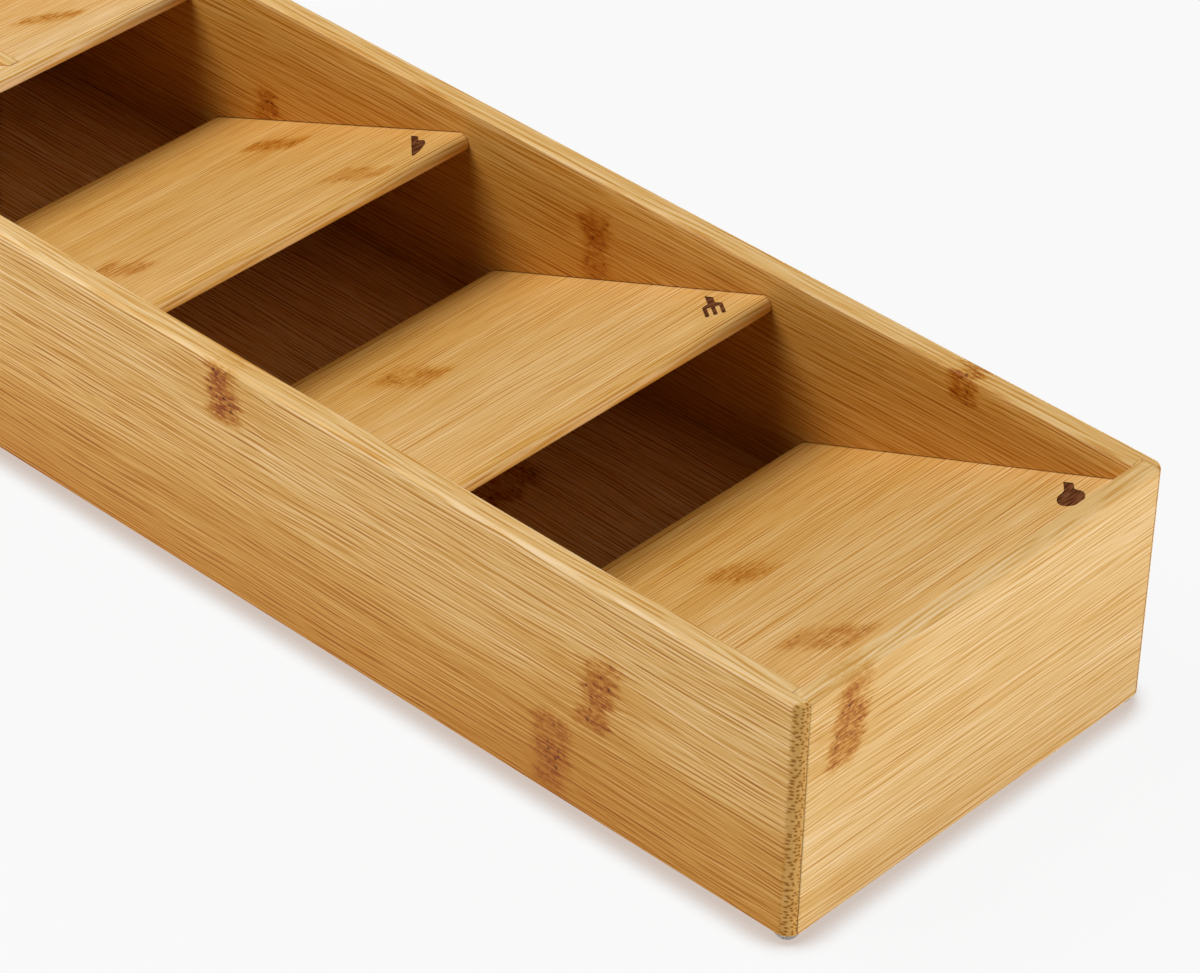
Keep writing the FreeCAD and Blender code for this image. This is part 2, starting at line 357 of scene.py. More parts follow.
print("rows of fibres every", [pitch for pitch, share in COMBS], "mm")

# %% [markdown]
# The colours of bamboo are two dyes in thinner or thicker layers: gold in the strips and lines, brown in
# the joints and ends. The deeper the layer, the more light it swallows, least of the red and most of the
# blue. So each mark below only adds to a depth, and a single step at the end turns both depths into colour.
# A dark line then is a rich gold and never a grey. Lines and rows have a floor on their pale side, so that
# no streak is paler than clean wood. Pits and dots also get a neutral painted shade, as if shadowed inside,
# and glue seams a thin painted shade for the shadow in them.

# %% Depth of the grain
LINE_DEPTH = 0.62
STRIPE_DEPTH = 0.04
FIBRE_DEPTH = 0.50
COMB_DEPTH = 0.34
PALE_FLOOR = -0.24
PALE_BEND = 0.25
CLOUD_DEPTH = 0.42

depth = maths(grain, "MULTIPLY", about_zero(grain, fibre), FIBRE_DEPTH)
depth = maths(grain, "MULTIPLY_ADD", line, LINE_DEPTH, depth)
depth = maths(grain, "MULTIPLY_ADD", comb, COMB_DEPTH, depth)
depth = maths(grain, "SMOOTH_MAX", depth, PALE_FLOOR, PALE_BEND)
depth = maths(grain, "MULTIPLY_ADD", depth, given["Line Strength"], given["Strip Depth"])
depth = maths(grain, "MULTIPLY_ADD", stripe, STRIPE_DEPTH, depth)
depth = maths(grain, "MULTIPLY_ADD", about_zero(grain, cloud), CLOUD_DEPTH, depth)
print("depth of a bundle line:", LINE_DEPTH)

# %% Depth of the joints
KNOT_DEPTH = 0.75
CRUMB_DEPTH = 2.90
CRUMB_GRAIN = (1.4, 0.6, 2.0)
TRAIL_DEPTH = 0.30
TRAIL_FIBRES = (0.40, 0.60)
BLUSH_DEPTH = 0.32
PIT_BROWN_AND_SHADE = 0.65
PIT_SPACING = 2.0
PIT_EDGE = (0.08, 0.30)
PIT_KNOT = (0.90, 0.40)

trail = maths(grain, "MULTIPLY", given["Knot Trail"], fade(grain, fibre, *TRAIL_FIBRES))
depth = maths(grain, "MULTIPLY_ADD", trail, TRAIL_DEPTH, depth)
crumbs = stretched_noise(grain, bent, *CRUMB_GRAIN).outputs["Fac"]
crumb = maths(grain, "MULTIPLY_ADD", about_zero(grain, crumbs), CRUMB_DEPTH, KNOT_DEPTH)
brown = maths(grain, "MULTIPLY", about_zero(grain, blush), BLUSH_DEPTH)
brown = maths(grain, "MULTIPLY_ADD", crumb, given["Knot"], brown)
pits = wire(grain, "ShaderNodeTexVoronoi", {"Vector": given["Board"], "Scale": 1 / PIT_SPACING})
pit = fade(grain, pits.outputs["Distance"], *PIT_EDGE)
pit = maths(grain, "MULTIPLY", pit, fade(grain, given["Knot"], *PIT_KNOT))
# painted shade: each pit darkens as if shadowed inside, and the same amount adds to the brown
shade = maths(grain, "MULTIPLY", pit, PIT_BROWN_AND_SHADE)
brown = maths(grain, "ADD", brown, shade)
print("depth of a joint:", KNOT_DEPTH)

# %% Depth of the ends and seams
END_DEPTH = 0.33
DOT_DEPTH = 0.90
DOT_SHADE = 0.35
SEAM_SHADE = 0.10

to_end = maths(grain, "SUBTRACT", END_DEPTH, depth)
depth = maths(grain, "MULTIPLY_ADD", to_end, given["End Grain"], depth)
dotted = maths(grain, "MULTIPLY", dot, given["End Grain"])
brown = maths(grain, "MULTIPLY_ADD", dotted, DOT_DEPTH, brown)
# painted shade inside each end grain dot, beside its brown
shade = maths(grain, "MULTIPLY_ADD", dotted, DOT_SHADE, shade)
# a thin shade in each seam: partly a dark glue line and partly painted shadow
shade = maths(grain, "MULTIPLY_ADD", given["Seam"], SEAM_SHADE, shade)
print("depth of an end grain dot:", DOT_DEPTH)

# %% Colour from depth
PALE = (0.790, 0.527, 0.236, 1.0)
GOLD_SWALLOWS = {"Red": 0.50, "Green": 1.00, "Blue": 2.40}
BROWN_SWALLOWS = {"Red": 0.48, "Green": 1.00, "Blue": 2.20}

passed = {}
for channel, share in GOLD_SWALLOWS.items():
    lost = maths(grain, "MULTIPLY_ADD", depth, share, shade)
    lost = maths(grain, "MULTIPLY_ADD", brown, BROWN_SWALLOWS[channel], lost)
    passed[channel] = maths(grain, "EXPONENT", maths(grain, "MULTIPLY", lost, -1.0))
dye = wire(grain, "ShaderNodeCombineColor", passed)
grain.links.new(tint(grain, PALE, dye.outputs[0]), result["Color"])
print("palest bamboo:", PALE[:3])

# %% Bamboo surface
WOOD_ROUGH = 0.40
LINE_ROUGH = 0.14
END_ROUGH = 0.20
LINE_SINKS = -0.6
FIBRE_RISES = 0.5

rough = maths(grain, "MULTIPLY_ADD", line, LINE_ROUGH, WOOD_ROUGH)
rough = maths(grain, "MULTIPLY_ADD", given["End Grain"], END_ROUGH, rough)
height = maths(grain, "MULTIPLY_ADD", line, LINE_SINKS, maths(grain, "MULTIPLY", fibre, FIBRE_RISES))
height = maths(grain, "SUBTRACT", height, pit)
grain.links.new(rough, result["Roughness"])
grain.links.new(height, result["Height"])
print("bamboo grain nodes:", len(grain.nodes))

# %% [markdown]
# Every hand's breadth or two a stalk has a joint, and in a board it leaves a brown, dotted patch as wide
# as one strip, with dark lines that trail off along the grain. A second group draws one such patch at a
# given place on a board. Its edge is ragged, because each bundle crosses the joint at its own height.

# %% Joint of the stalk
# how a patch fades at its sides and ends, and its trail, in half widths and half lengths
PATCH_SIDE = (0.62, 1.10)
PATCH_END = (0.50, 1.40)
TRAIL_END = (0.40, 6.00)

knot, given, result = new_group(
    "stalk_joint",
    "ShaderNodeTree",
    {
        "Board": "NodeSocketVector",
        "Along": "NodeSocketFloat",
        "Across": "NodeSocketFloat",
        "Half Length": "NodeSocketFloat",
        "Half Width": "NodeSocketFloat",
        "Slant": "NodeSocketFloat",
        "Brown": "NodeSocketFloat",
        "Ragged": "NodeSocketFloat",
    },
    {"Knot": "NodeSocketFloat", "Knot Trail": "NodeSocketFloat"},
)
axes = wire(knot, "ShaderNodeSeparateXYZ", {0: given["Board"]})
aside = maths(knot, "SUBTRACT", axes.outputs["Y"], given["Across"])
off = maths(knot, "SUBTRACT", axes.outputs["X"], given["Along"])
off = maths(knot, "SUBTRACT", off, maths(knot, "MULTIPLY", aside, given["Slant"]))
off = maths(knot, "ADD", off, given["Ragged"])
reach = maths(knot, "DIVIDE", maths(knot, "ABSOLUTE", off), given["Half Length"])
side = maths(knot, "DIVIDE", maths(knot, "ABSOLUTE", aside), given["Half Width"])
within = maths(knot, "MULTIPLY", fade(knot, side, *PATCH_SIDE), given["Brown"])
knot.links.new(maths(knot, "MULTIPLY", fade(knot, reach, *PATCH_END), within), result["Knot"])
knot.links.new(maths(knot, "MULTIPLY", fade(knot, reach, *TRAIL_END), within), result["Knot Trail"])
print("stalk joint nodes:", len(knot.nodes))

# %% [markdown]
# The two groups make the finish of one board. A Mapping node turns Object coordinates into the board's own
# millimetres, so a sloping board's grain follows its slope. A board is pressed from strips of different
# stalks, so a colour ramp across the board says how deep the gold of its strips is. Its joints are listed
# with their places and sizes, and a coarse noise makes them blotchy, as no joint is evenly brown.

# %% Parts of a board's finish
# the sizes of ragged and blotchy patches, in millimetres as above
RAGGED_GRAIN = (12.0, 1.2, 2.0)
RAGGED_REACH = 9.0
BLOTCH_GRAIN = (5.0, 4.5, 2.0)
BLOTCH_EDGE = (0.58, 0.38)
BLOTCH_SHARE = 0.75
BLOTCH_LEAST = 0.60


def board_millimetres(tree, place, along, across, start):
    """A board's own millimetres, measured from a point along the grain, across the strips and through."""
    turn = Matrix((along, across, along.cross(across)))
    return wire(tree, "ShaderNodeMapping", {
        "Vector": place,
        "Location": -(turn @ start) / MM,
        "Rotation": turn.to_euler(),
        "Scale": (1 / MM, 1 / MM, 1 / MM),
    }).outputs[0]


def strip_depth(tree, across, tones):
    """How deep the gold of the strips is. Tones are (mm across, depth) pairs."""
    low, high = tones[0][0], tones[-1][0]
    span = wire(tree, "ShaderNodeMapRange", {"Value": across, "From Min": low, "From Max": high})
    strips = wire(tree, "ShaderNodeValToRGB", {0: span.outputs[0]})
    strips.color_ramp.interpolation = "EASE"
    stops = strips.color_ramp.elements
    while len(stops) < len(tones):
        stops.new(0.5)
    for stop, (edge, depth) in zip(stops, tones):
        stop.position = (edge - low) / (high - low)
        stop.color = (depth, depth, depth, 1.0)
    return strips.outputs[0]


def joint_patches(tree, board, joints):
    """All joints of a board. Each is (along, across, half length, half width, slant, share of brown)."""
    ragged = stretched_noise(tree, board, *RAGGED_GRAIN).outputs["Fac"]
    ragged = maths(tree, "MULTIPLY_ADD", ragged, RAGGED_REACH, -RAGGED_REACH / 2)
    patch, trail = 0.0, 0.0
    for spot, sideways, half_length, half_width, slant, share in joints:
        mark = wire(tree, "ShaderNodeGroup", {
            "Board": board, "Ragged": ragged, "Along": spot, "Across": sideways, "Half Length": half_length,
            "Half Width": half_width, "Slant": slant, "Brown": share,
        }, node_tree=knot)
        patch = maths(tree, "MAXIMUM", patch, mark.outputs["Knot"])
        trail = maths(tree, "MAXIMUM", trail, mark.outputs["Knot Trail"])
    blotch = fade(tree, stretched_noise(tree, board, *BLOTCH_GRAIN).outputs["Fac"], *BLOTCH_EDGE)
    blotch = maths(tree, "MULTIPLY_ADD", blotch, BLOTCH_SHARE, BLOTCH_LEAST)
    return maths(tree, "MULTIPLY", patch, blotch), trail


def facing(tree, normal, axis):
    """How squarely a face looks along an axis, from 0 to 1."""
    turned = wire(tree, "ShaderNodeVectorMath", {0: normal, 1: axis}, operation="DOT_PRODUCT")
    return maths(tree, "ABSOLUTE", turned.outputs["Value"])


print("joints are ragged by", RAGGED_REACH, "mm")

# %% [markdown]
# A face that looks along the grain shows the ends of the bundles, so the turn of each face decides between
# lines and dots. Rims are sanded more, so their lines are fainter. Near a glue seam the end grain is
# switched off, as the squeezed-out glue has filled the pores, and a thin shade is added: partly a dark
# glue line and partly painted shade for the shadow in the seam.

# %% Finish of one board
END_STARTS = 0.06
END_WHOLE = 0.42
END_SHARE = 0.9
RIM_FACING = (0.90, 0.50)
RIM_LINES = 0.65
SEAM_WIDTH = 0.3
NO_SEAM = 1000.0
BUMP_DEPTH = 0.08 * MM
BUMP_STRENGTH = 0.5
SHEEN = 0.15
X_AXIS = Vector((1, 0, 0))
Y_AXIS = Vector((0, 1, 0))
Z_AXIS = Vector((0, 0, 1))


def bamboo(name, along, across, start, tones, joints, strength=1.0, seam=NO_SEAM):
    """A bamboo finish with lines of this strength and glue seams this many mm from the start."""
    finish = bpy.data.materials.new(name)
    finish.use_nodes = True
    tree = finish.node_tree
    place = wire(tree, "ShaderNodeTexCoord").outputs
    board = board_millimetres(tree, place["Object"], along, across, start)
    axes = wire(tree, "ShaderNodeSeparateXYZ", {0: board}).outputs
    patch, trail = joint_patches(tree, board, joints)
    seam_glue_and_shade = fade(tree, maths(tree, "ABSOLUTE", axes["X"]), seam, seam - SEAM_WIDTH)
    end = fade(tree, facing(tree, place["Normal"], along), END_WHOLE, END_STARTS)
    end = maths(tree, "MULTIPLY", end, END_SHARE)
    end = maths(tree, "MULTIPLY", end, maths(tree, "SUBTRACT", 1.0, seam_glue_and_shade))
    rim = fade(tree, facing(tree, place["Normal"], across), *RIM_FACING)
    wood = wire(tree, "ShaderNodeGroup", {
        "Board": board,
        "Strip Depth": strip_depth(tree, axes["Y"], tones),
        "Line Strength": maths(tree, "MULTIPLY_ADD", rim, RIM_LINES - strength, strength),
        "Knot": patch,
        "Knot Trail": trail,
        "End Grain": end,
        "Seam": seam_glue_and_shade,
    }, node_tree=grain)
    bump = wire(tree, "ShaderNodeBump", {
        "Height": wood.outputs["Height"], "Strength": BUMP_STRENGTH, "Distance": BUMP_DEPTH,
    })
    shader = tree.nodes["Principled BSDF"]
    shader.inputs["Specular IOR Level"].default_value = SHEEN
    tree.links.new(wood.outputs["Color"], shader.inputs["Base Color"])
    tree.links.new(wood.outputs["Roughness"], shader.inputs["Roughness"])
    tree.links.new(bump.outputs[0], shader.inputs["Normal"])
    return finish


print("board finish ready, seams", SEAM_WIDTH, "mm wide")

# %% [markdown]
# The walls, the floor board and the small divider are flat boards with rabbets, grooves and eased edges,
# and the CAD model has all of that. They keep their CAD shape: each is a merged copy of its node's
# triangles, smooth on its rounded corners and sharp on its edges, with the bamboo finish of that board.
# Weighted normals let the large flat faces rule the shading, so that an eased edge doesn't bend the light
# on the face beside it. In the CAD model every glue line is a thin gap. The end walls are drawn out by most
# of it, so that their corners look glued.

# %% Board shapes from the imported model
CREASE = math.radians(28.0)
MERGE = 0.001 * MM
FLAT_WEIGHT = 100


def settle_shading(piece):
    """Let the large flat faces rule the shading, and keep the result as a plain mesh."""
    piece.data.set_sharp_from_angle(angle=CREASE)
    weigh = piece.modifiers.new("even_shading", "WEIGHTED_NORMAL")
    weigh.keep_sharp = True
    weigh.weight = FLAT_WEIGHT
    depsgraph = bpy.context.evaluated_depsgraph_get()
    settled = bpy.data.meshes.new_from_object(
        piece.evaluated_get(depsgraph), preserve_all_data_layers=True, depsgraph=depsgraph,
    )
    piece.modifiers.remove(weigh)
    raw = piece.data
    piece.data = settled
    bpy.data.meshes.remove(raw)
    settled.name = piece.name


def dress(node, finish, glue=0.0):
    """A merged copy of a packed board that stands for it, with its two ends drawn out by the glue."""
    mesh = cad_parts[node].data.copy()
    mesh.name = node + "_board"
    shape = bmesh.new()
    shape.from_mesh(mesh)
    bmesh.ops.remove_doubles(shape, verts=shape.verts, dist=MERGE)
    for face in shape.faces:
        face.smooth = True
    end = max(vertex.co.y for vertex in shape.verts)
    for vertex in shape.verts:
        if abs(vertex.co.y) > end - MERGE:
            vertex.co.y += math.copysign(glue, vertex.co.y)
    shape.to_mesh(mesh)
    shape.free()
    mesh.materials.clear()
    mesh.materials.append(finish)
    piece = bpy.data.objects.new(node + "_board", mesh)
    scene.collection.objects.link(piece)
    settle_shading(piece)
    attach(piece, "root")
    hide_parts(node)
    return piece


print("edges sharper than", round(math.degrees(CREASE)), "degrees stay sharp")

# %% [markdown]
# The side walls run the whole length of the tray, and their ends show at the corners as narrow bands of
# dots. Each is pressed from a few strips, pale above and golden below. The end walls sit between the side
# walls' lips with their grain from wall to wall, and the floor board lies in a groove all round. Strips and
# joints are given in millimetres where the photograph shows them, and are guessed on the hidden faces.

# %% Side walls
# strips of the front wall: the upper ones pale, the lowest golden
ORIGIN = Vector((0, 0, 0))

front_finish = bamboo(
    "bamboo_front_side", X_AXIS, Z_AXIS, ORIGIN,
    tones=[(2.0, 0.80), (18.0, 0.66), (32.0, 0.31), (48.0, 0.23), (58.0, 0.24), (61.4, 0.06)],
    joints=[
        (145.2, 34.6, 4.1, 10.9, 0.19, 1.0),
        (132.8, 13.0, 4.6, 11.0, 0.05, 0.65),
        (36.5, 53.8, 4.2, 7.6, -0.05, 1.2),
        (-96.0, 34.5, 4.0, 10.3, 0.1, 0.9),
        (-128.0, 12.8, 3.8, 10.6, -0.1, 0.7),
    ],
)
back_finish = bamboo(
    "bamboo_back_side", X_AXIS, Z_AXIS, ORIGIN,
    tones=[(2.0, 0.80), (25.0, 0.74), (45.0, 0.66), (58.0, 0.54), (61.4, 0.16)],
    joints=[
        (42.8, 43.0, 4.0, 11.0, 0.0, 0.8),
        (148.5, 58.6, 3.2, 4.8, 0.0, 1.0),
        (-63.0, 31.4, 3.2, 7.0, 0.0, 0.8),
        (-150.0, 52.0, 3.6, 8.0, 0.1, 0.8),
        (120.0, 14.0, 3.6, 9.0, 0.0, 0.6),
    ],
    strength=0.9,
)
for node, finish in (("front_side_wall", front_finish), ("back_side_wall", back_finish)):
    wall = dress(node, finish)
    print(wall.name, len(wall.data.polygons), "faces")

# %% End walls
# the left end starts its grain elsewhere, so that the two ends don't look alike
END_GLUE = 0.08 * MM
END_SEAM = 53.8
END_LINES = 0.65
LEFT_START = Vector((0, 0.3, 0))

right_finish = bamboo(
    "bamboo_right_end", Y_AXIS, Z_AXIS, ORIGIN,
    tones=[(2.0, 0.12), (30.0, 0.08), (57.0, 0.09), (61.4, 0.07)],
    joints=[(-41.8, 50.2, 4.6, 11.6, 0.12, 0.95)],
    strength=END_LINES,
    seam=END_SEAM,
)
left_finish = bamboo(
    "bamboo_left_end", Y_AXIS, Z_AXIS, LEFT_START,
    tones=[(2.0, 0.20), (28.0, 0.10), (60.0, 0.14)],
    joints=[(-280.0, 30.4, 3.8, 10.4, 0.1, 0.9)],
    strength=END_LINES,
)
for node, finish in (("right_end_wall", right_finish), ("left_end_wall", left_finish)):
    wall = dress(node, finish, END_GLUE)
    print(wall.name, len(wall.data.polygons), "faces")

# %% Floor board and divider
# painted light and shade: the floor board is paler in front and darker towards the back wall,
# darkest in its last few millimetres, as the shadow in its joint with that wall
DIVIDER_START = Vector((0, 0.03, 0))

base_finish = bamboo(
    "bamboo_floor_board", X_AXIS, Y_AXIS, ORIGIN,
    tones=[(-54.0, 0.10), (8.0, 0.00), (26.0, 0.03), (38.0, 0.14), (49.0, 0.50), (54.0, 0.80)],
    joints=[(60.5, 5.0, 4.2, 9.5, 0.0, 0.9), (-70.0, 20.0, 3.8, 10.0, 0.1, 0.8)],
)
divider_finish = bamboo(
    "bamboo_divider", X_AXIS, Z_AXIS, DIVIDER_START, tones=[(10.0, 0.20), (55.0, 0.12)], joints=[],
)
floor_board = dress("base_panel", base_finish)
divider = dress("teaspoon_divider", divider_finish)
print(floor_board.name, divider.name)

# %% [markdown]
# The four ramps follow one rule: a board of even thickness with half-round long edges, pushed up a slope.
# That is a job for Geometry Nodes. A rounded rectangle is the board's section, and sweeping it along a
# straight line makes the board, which is then turned to its slope and set in its place. The first ramp has
# no round nose: it is cut upright against the end wall, so the same tree can trim its board there.

# %% Ramp tree
# the rounding stops just short of half the thickness, where the section would close up
ROUND_SHARE = 0.4999

ramp_tree, given, result = new_group(
    "bullnose_ramp",
    "GeometryNodeTree",
    {
        "Board Length": "NodeSocketFloat",
        "Board Width": "NodeSocketFloat",
        "Thickness": "NodeSocketFloat",
        "Round Steps": "NodeSocketInt",
        "Slope": "NodeSocketFloat",
        "Middle": "NodeSocketVector",
        "Trim Centre": "NodeSocketVector",
        "Trim Size": "NodeSocketVector",
        "Finish": "NodeSocketMaterial",
    },
    {"Geometry": "NodeSocketGeometry"},
)
section = wire(ramp_tree, "GeometryNodeCurvePrimitiveQuadrilateral", {
    "Width": given["Board Length"], "Height": given["Thickness"],
})
round_radius = maths(ramp_tree, "MULTIPLY", given["Thickness"], ROUND_SHARE)
section = wire(ramp_tree, "GeometryNodeFilletCurve", {
    "Curve": section.outputs[0], "Count": given["Round Steps"], "Radius": round_radius,
}, mode="POLY")
half_width = maths(ramp_tree, "MULTIPLY", given["Board Width"], 0.5)
line_start = wire(ramp_tree, "ShaderNodeCombineXYZ", {"Z": maths(ramp_tree, "MULTIPLY", half_width, -1.0)})
line_end = wire(ramp_tree, "ShaderNodeCombineXYZ", {"Z": half_width})
straight = wire(ramp_tree, "GeometryNodeCurvePrimitiveLine", {
    "Start": line_start.outputs[0], "End": line_end.outputs[0],
})
board = wire(ramp_tree, "GeometryNodeCurveToMesh", {
    "Curve": straight.outputs[0], "Profile Curve": section.outputs[0], "Fill Caps": True,
})
merged = wire(ramp_tree, "GeometryNodeMergeByDistance", {"Geometry": board.outputs[0], "Distance": MERGE})
print("ramp section and sweep nodes:", len(ramp_tree.nodes))

# %% Ramp tree: place, trim and coat
angles = wire(ramp_tree, "ShaderNodeCombineXYZ", {
    "X": math.pi / 2, "Y": maths(ramp_tree, "MULTIPLY", given["Slope"], -1.0),
})
turned = wire(ramp_tree, "FunctionNodeEulerToRotation", {0: angles.outputs[0]})
placed = wire(ramp_tree, "GeometryNodeTransform", {
    "Geometry": merged.outputs[0], "Translation": given["Middle"], "Rotation": turned.outputs[0],
})
block = wire(ramp_tree, "GeometryNodeMeshCube", {"Size": given["Trim Size"]})
block = wire(ramp_tree, "GeometryNodeTransform", {
    "Geometry": block.outputs[0], "Translation": given["Trim Centre"],
})
trimmed = wire(ramp_tree, "GeometryNodeMeshBoolean", {
    "Mesh 1": placed.outputs[0], "Mesh 2": block.outputs[0],
}, operation="DIFFERENCE", solver="EXACT")
smooth = wire(ramp_tree, "GeometryNodeSetShadeSmooth", {"Geometry": trimmed.outputs[0]})
real = wire(ramp_tree, "GeometryNodeRealizeInstances", {"Geometry": smooth.outputs[0]})
coated = wire(ramp_tree, "GeometryNodeSetMaterial", {
    "Geometry": real.outputs[0], "Material": given["Finish"],
})
ramp_tree.links.new(coated.outputs[0], result["Geometry"])
print("ramp tree nodes:", len(ramp_tree.nodes))

# %% Run a tree and keep its mesh
def run_tree(name, tree, values, cutter=None):
    """Evaluate a Geometry Nodes tree with these named values and keep the result as a plain mesh."""
    seed_mesh = bpy.data.meshes.new(name + "_seed")
    maker = bpy.data.objects.new(name + "_maker", seed_mesh)
    modifier = maker.modifiers.new("maker", "NODES")
    modifier.node_group = tree
    sockets = {item.name: item.identifier for item in tree.interface.items_tree if item.in_out == "INPUT"}
    for label, value in values.items():
        modifier[sockets[label]] = value
    if cutter is not None:
        cut = maker.modifiers.new("engraving", "BOOLEAN")
        cut.operation = "DIFFERENCE"
        cut.solver = "EXACT"
        cut.material_mode = "TRANSFER"
        cut.object = cutter
    scene.collection.objects.link(maker)
    evaluated = maker.evaluated_get(bpy.context.evaluated_depsgraph_get())
    mesh = bpy.data.meshes.new_from_object(evaluated)
    mesh.name = name
    bpy.data.objects.remove(maker)
    bpy.data.meshes.remove(seed_mesh)
    mesh.set_sharp_from_angle(angle=CREASE)
    piece = bpy.data.objects.new(name, mesh)
    scene.collection.objects.link(piece)
    return piece


print("ramp tree takes", [item.name for item in ramp_tree.interface.items_tree if item.in_out == "INPUT"])

# %% [markdown]
# Three ramps carry a small burnt-in sign that says what belongs there: a spoon, a fork or a knife. The
# signs are simple shapes of my own, drawn in millimetres on the slope. A laser burns such a sign a few
# tenths of a millimetre deep, so a thin cutter takes the shape out of the board and leaves it scorched.

# %% Sign outlines
TINES = (-1.85, 0.0, 1.85)
TINE_HALF = 0.46
TINE_ROOT = 0.6
TINE_TIP = 5.65


def arc(centre, wide, tall, start, end, steps):
    """Points on part of an ellipse, angles in degrees from the first axis."""
    points = []
    for step in range(steps + 1):
        angle = math.radians(start + (end - start) * step / steps)
        points.append((centre[0] + wide * math.cos(angle), centre[1] + tall * math.sin(angle)))
    return points


spoon_sign = (
    arc((3.6, 0.0), 4.3, 3.0, -146, 146, 30)
    + [(-0.9, 1.15), (-4.2, 1.2), (-6.1, -0.8), (-1.2, -1.05)]
)
fork_sign = [(-5.7, 0.85), (-8.0, -0.85), (-2.2, -0.8), (-1.6, -1.5), (-0.7, -2.3)]
for middle in TINES:
    fork_sign += [(TINE_ROOT, middle - TINE_HALF)] if middle > TINES[0] else []
    fork_sign += arc((TINE_TIP, middle), 0.45, TINE_HALF, -90, 90, 6)
    fork_sign += [(TINE_ROOT, middle + TINE_HALF)] if middle < TINES[-1] else []
fork_sign += [(-0.7, 2.3), (-1.6, 1.5), (-2.2, 0.8)]
knife_sign = [
    (-6.4, -0.9), (9.2, -0.2), (9.7, 0.3), (7.7, 1.3), (4.6, 2.3), (2.4, 2.7), (0.6, 2.65),
    (-0.5, 2.2), (-1.3, 1.0), (-4.3, 0.8),
]
SIGNS = {"spoon_ramp": spoon_sign, "fork_ramp": fork_sign, "knife_ramp": knife_sign}
print("signs:", {name: len(points) for name, points in SIGNS.items()})

# %% Scorched wood
CHAR = (0.065, 0.016, 0.005, 1.0)
SINGED = (0.200, 0.074, 0.027, 1.0)
STREAKS_PER_MM = (2.2, 0.25, 2.2)
STREAK_EDGE = (0.62, 0.40)
STREAK_DETAIL = 3.0
SCORCHED_ROUGH = 0.80
SCORCHED_SHEEN = 0.02

scorched = bpy.data.materials.new("scorched_bamboo")
scorched.use_nodes = True
tree = scorched.node_tree
place = wire(tree, "ShaderNodeTexCoord")
millimetres = wire(tree, "ShaderNodeMapping", {
    "Vector": place.outputs["Object"], "Scale": (1 / MM, 1 / MM, 1 / MM),
}).outputs[0]
burnt = wire(tree, "ShaderNodeVectorMath", {0: millimetres, 1: STREAKS_PER_MM}, operation="MULTIPLY")
burnt = wire(tree, "ShaderNodeTexNoise", {
    "Vector": burnt.outputs[0], "Scale": 1.0, "Detail": STREAK_DETAIL,
})
streak = fade(tree, burnt.outputs["Fac"], *STREAK_EDGE)
shader = tree.nodes["Principled BSDF"]
tree.links.new(blend_colour(tree, streak, CHAR, SINGED), shader.inputs["Base Color"])
shader.inputs["Roughness"].default_value = SCORCHED_ROUGH
shader.inputs["Specular IOR Level"].default_value = SCORCHED_SHEEN
print("scorched wood nodes:", len(tree.nodes))

# %% Sign cutters
SIGN_DEPTH = 0.22 * MM


def sign_cutter(name, outline, centre, first, second, normal):
    """A thin prism of the sign, set into the face of a ramp."""
    shape = bmesh.new()
    rings = []
    for depth in (-SIGN_DEPTH, 2 * SIGN_DEPTH):
        ring = []
        for p, q in outline:
            ring.append(shape.verts.new(centre + (first * p + second * q) * MM + normal * depth))
        rings.append(ring)
    count = len(outline)
    shape.faces.new(rings[0])
    shape.faces.new(rings[1])
    for index in range(count):
        after = (index + 1) % count
        shape.faces.new((rings[0][index], rings[0][after], rings[1][after], rings[1][index]))
    bmesh.ops.recalc_face_normals(shape, faces=shape.faces)
    mesh = bpy.data.meshes.new(name)
    shape.to_mesh(mesh)
    shape.free()
    mesh.materials.append(scorched)
    return bpy.data.objects.new(name, mesh)


print("signs are", round(SIGN_DEPTH / MM, 2), "mm deep")

# %% [markdown]
# On a ramp the grain runs from wall to wall and the strips lie one above the other up the slope. So tones
# and joints are measured from the centre of the low round edge, and the lowest strips, which lie in the
# shade of the next board, are the most golden: their own deeper gold and painted shade together. Each sign
# lies near the nose at the back wall.

# %% Ramp finishes
RAMP_LINES = 0.85
# strip tones, deepest at the low edge, where painted shade stands for the next board's shadow
RAMP_TONES_AND_SHADE = {
    "spoon_ramp": [(-3.0, 0.56), (10.0, 0.44), (36.0, 0.32), (52.0, 0.19), (95.0, 0.18)],
    "fork_ramp": [(-3.0, 0.60), (12.0, 0.44), (35.0, 0.26), (60.0, 0.17), (90.0, 0.25)],
    "knife_ramp": [(-3.0, 0.56), (12.0, 0.44), (32.0, 0.34), (90.0, 0.27)],
    "teaspoon_ramp": [(-3.0, 0.26), (90.0, 0.02)],
}
RAMP_JOINTS = {
    "spoon_ramp": [(-7.0, 35.0, 4.6, 8.0, 0.3, 0.5), (-26.0, 78.0, 5.2, 9.5, 0.3, 0.65)],
    "fork_ramp": [(-3.0, 28.5, 5.6, 9.5, 0.1, 0.55)],
    "knife_ramp": [
        (38.0, 35.4, 3.6, 8.0, 0.3, 0.7),
        (26.0, 78.7, 4.0, 8.0, 0.3, 0.7),
        (-31.0, 61.0, 3.6, 8.0, 0.2, 0.6),
    ],
    "teaspoon_ramp": [(27.0, 64.0, 3.6, 9.0, 0.3, 0.7)],
}
# each sign: millimetres towards the back wall and up the slope, and its turn in degrees
SIGN_PLACES = {
    "spoon_ramp": (44.0, 83.0, 0.0),
    "fork_ramp": (43.8, 77.8, 5.9),
    "knife_ramp": (44.0, 78.0, 0.0),
}
print("joints on the ramps:", {node: len(joints) for node, joints in RAMP_JOINTS.items()})

# %% Slope of the ramps
RAMP_THICKNESS = 4.2 * MM

